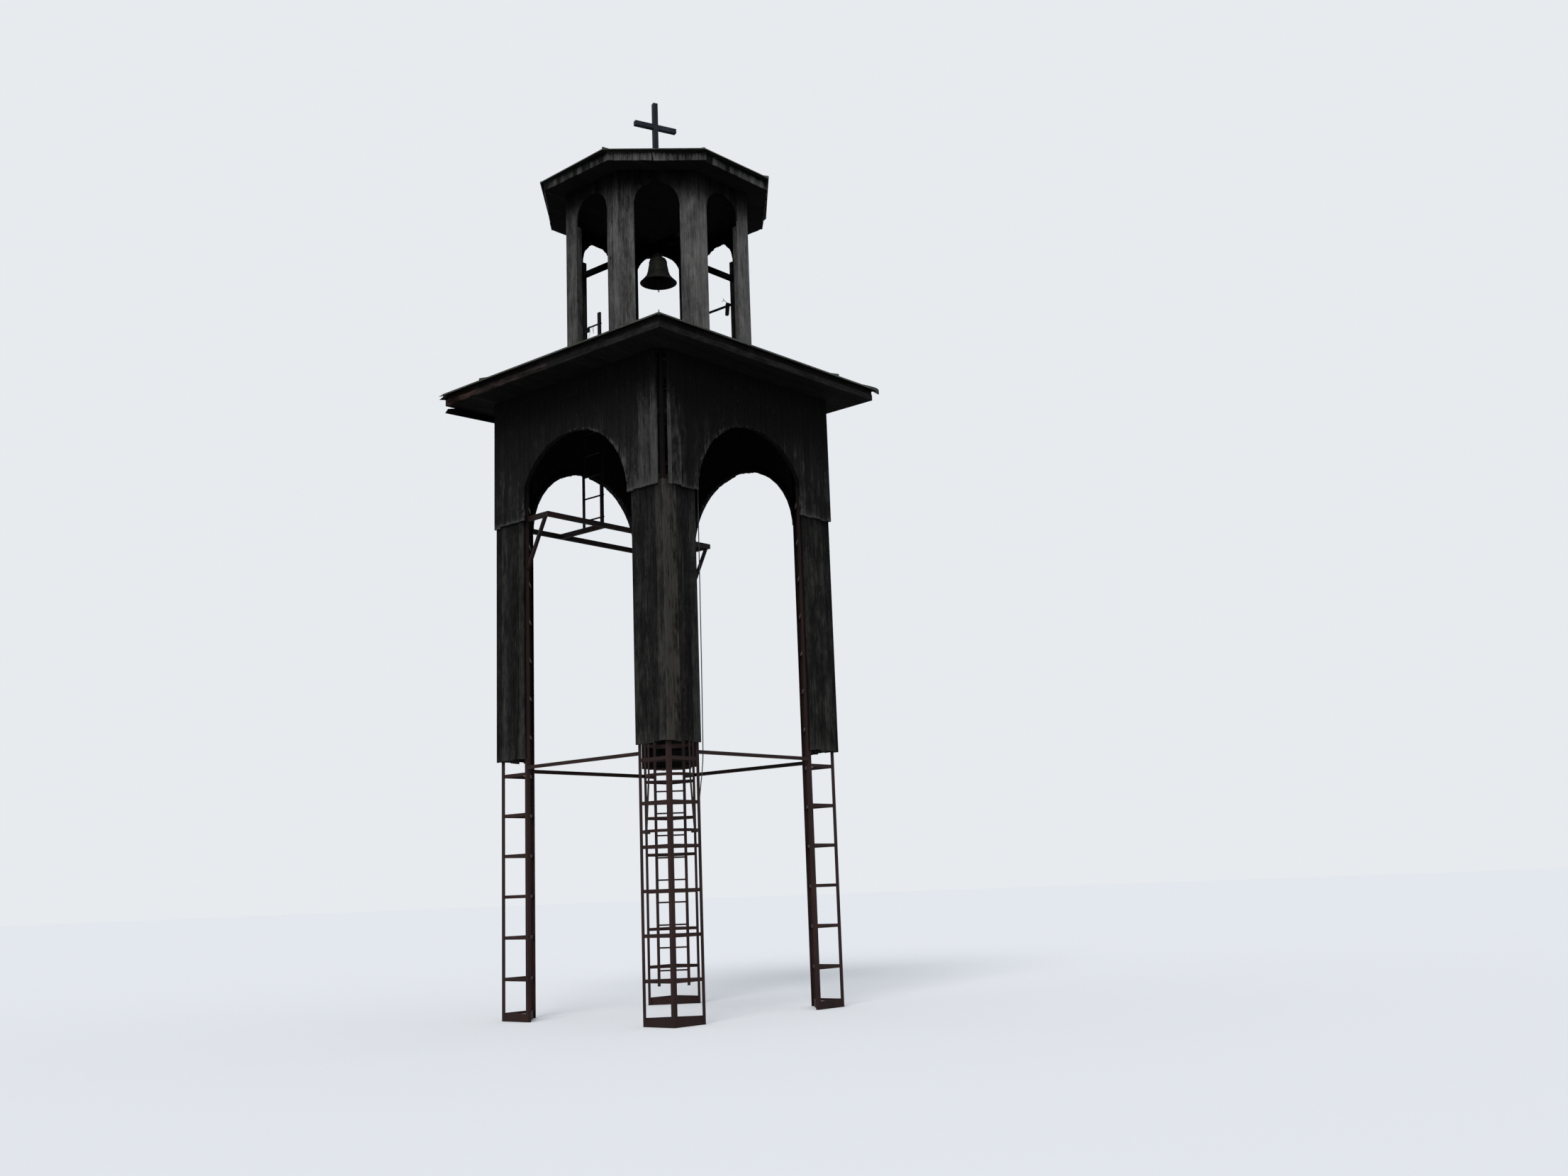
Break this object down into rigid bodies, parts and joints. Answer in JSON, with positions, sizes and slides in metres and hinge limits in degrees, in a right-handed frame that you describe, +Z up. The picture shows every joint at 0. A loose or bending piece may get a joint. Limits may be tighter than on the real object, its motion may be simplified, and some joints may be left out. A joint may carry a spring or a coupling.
{
  "type": "bell tower",
  "caption": "Free-standing bell tower on four lattice steel legs, with boarded arches, a square roof and an open octagonal belfry with a bell and a cross.",
  "frame": {"origin": "on the tower's axis at ground level, under the feet of the legs", "axes": "+Z up; -Y is the front side and -X the left side, which the picture shows at right and left"},
  "size_m": [4.12, 4.12, 12.28],
  "materials": {
    "primed_steel": "red-brown primer with rust",
    "concrete": "rough concrete",
    "grey_boards": "weathered grey-brown boards",
    "fascia_boards": "dark weathered boards",
    "pale_boards": "weathered light grey boards",
    "roof_sheet": "dull green-grey sheet with moss",
    "cross_paint": "dark weathered paint",
    "bell_metal": "dark patina",
    "rope": "grey twisted rope"
  },
  "bodies": {
    "tower": {"near_leg": "primed_steel", "left_leg": "primed_steel", "right_leg": "primed_steel", "rear_leg": "primed_steel", "tie_bars": "primed_steel", "floor_frame": "primed_steel", "bell_frame": "primed_steel", "belfry_rod": "primed_steel", "lower_ladder": "primed_steel", "ladder_cage": "primed_steel", "landing_beams": "primed_steel", "landing_cross_beam": "primed_steel", "landing_brackets": "primed_steel", "upper_ladder": "primed_steel", "footings": "concrete", "near_leg_boards": "grey_boards", "left_leg_boards": "grey_boards", "right_leg_boards": "grey_boards", "rear_leg_boards": "grey_boards", "front_arch_wall": "grey_boards", "right_arch_wall": "grey_boards", "back_arch_wall": "grey_boards", "left_arch_wall": "grey_boards", "eave_boards": "grey_boards", "front_fascia": "fascia_boards", "right_fascia": "fascia_boards", "back_fascia": "fascia_boards", "left_fascia": "fascia_boards", "belfry_eave": "fascia_boards", "belfry_front_wall": "pale_boards", "belfry_front_right_wall": "pale_boards", "belfry_right_wall": "pale_boards", "belfry_back_right_wall": "pale_boards", "belfry_back_wall": "pale_boards", "belfry_back_left_wall": "pale_boards", "belfry_left_wall": "pale_boards", "belfry_front_left_wall": "pale_boards", "front_roof": "roof_sheet", "right_roof": "roof_sheet", "back_roof": "roof_sheet", "left_roof": "roof_sheet", "belfry_roof": "roof_sheet", "cross": "cross_paint", "bell": "bell_metal", "bell_rope": "rope"},
    "clapper": {"clapper": "bell_metal"}
  },
  "joints": [
    {"name": "clapper_swing", "type": "hinge", "parent": "tower", "child": "clapper", "pos_m": [-0.38, -0.38, 9.688], "axis": [1, 0, 0], "range_deg": [-30, 30]}
  ]
}
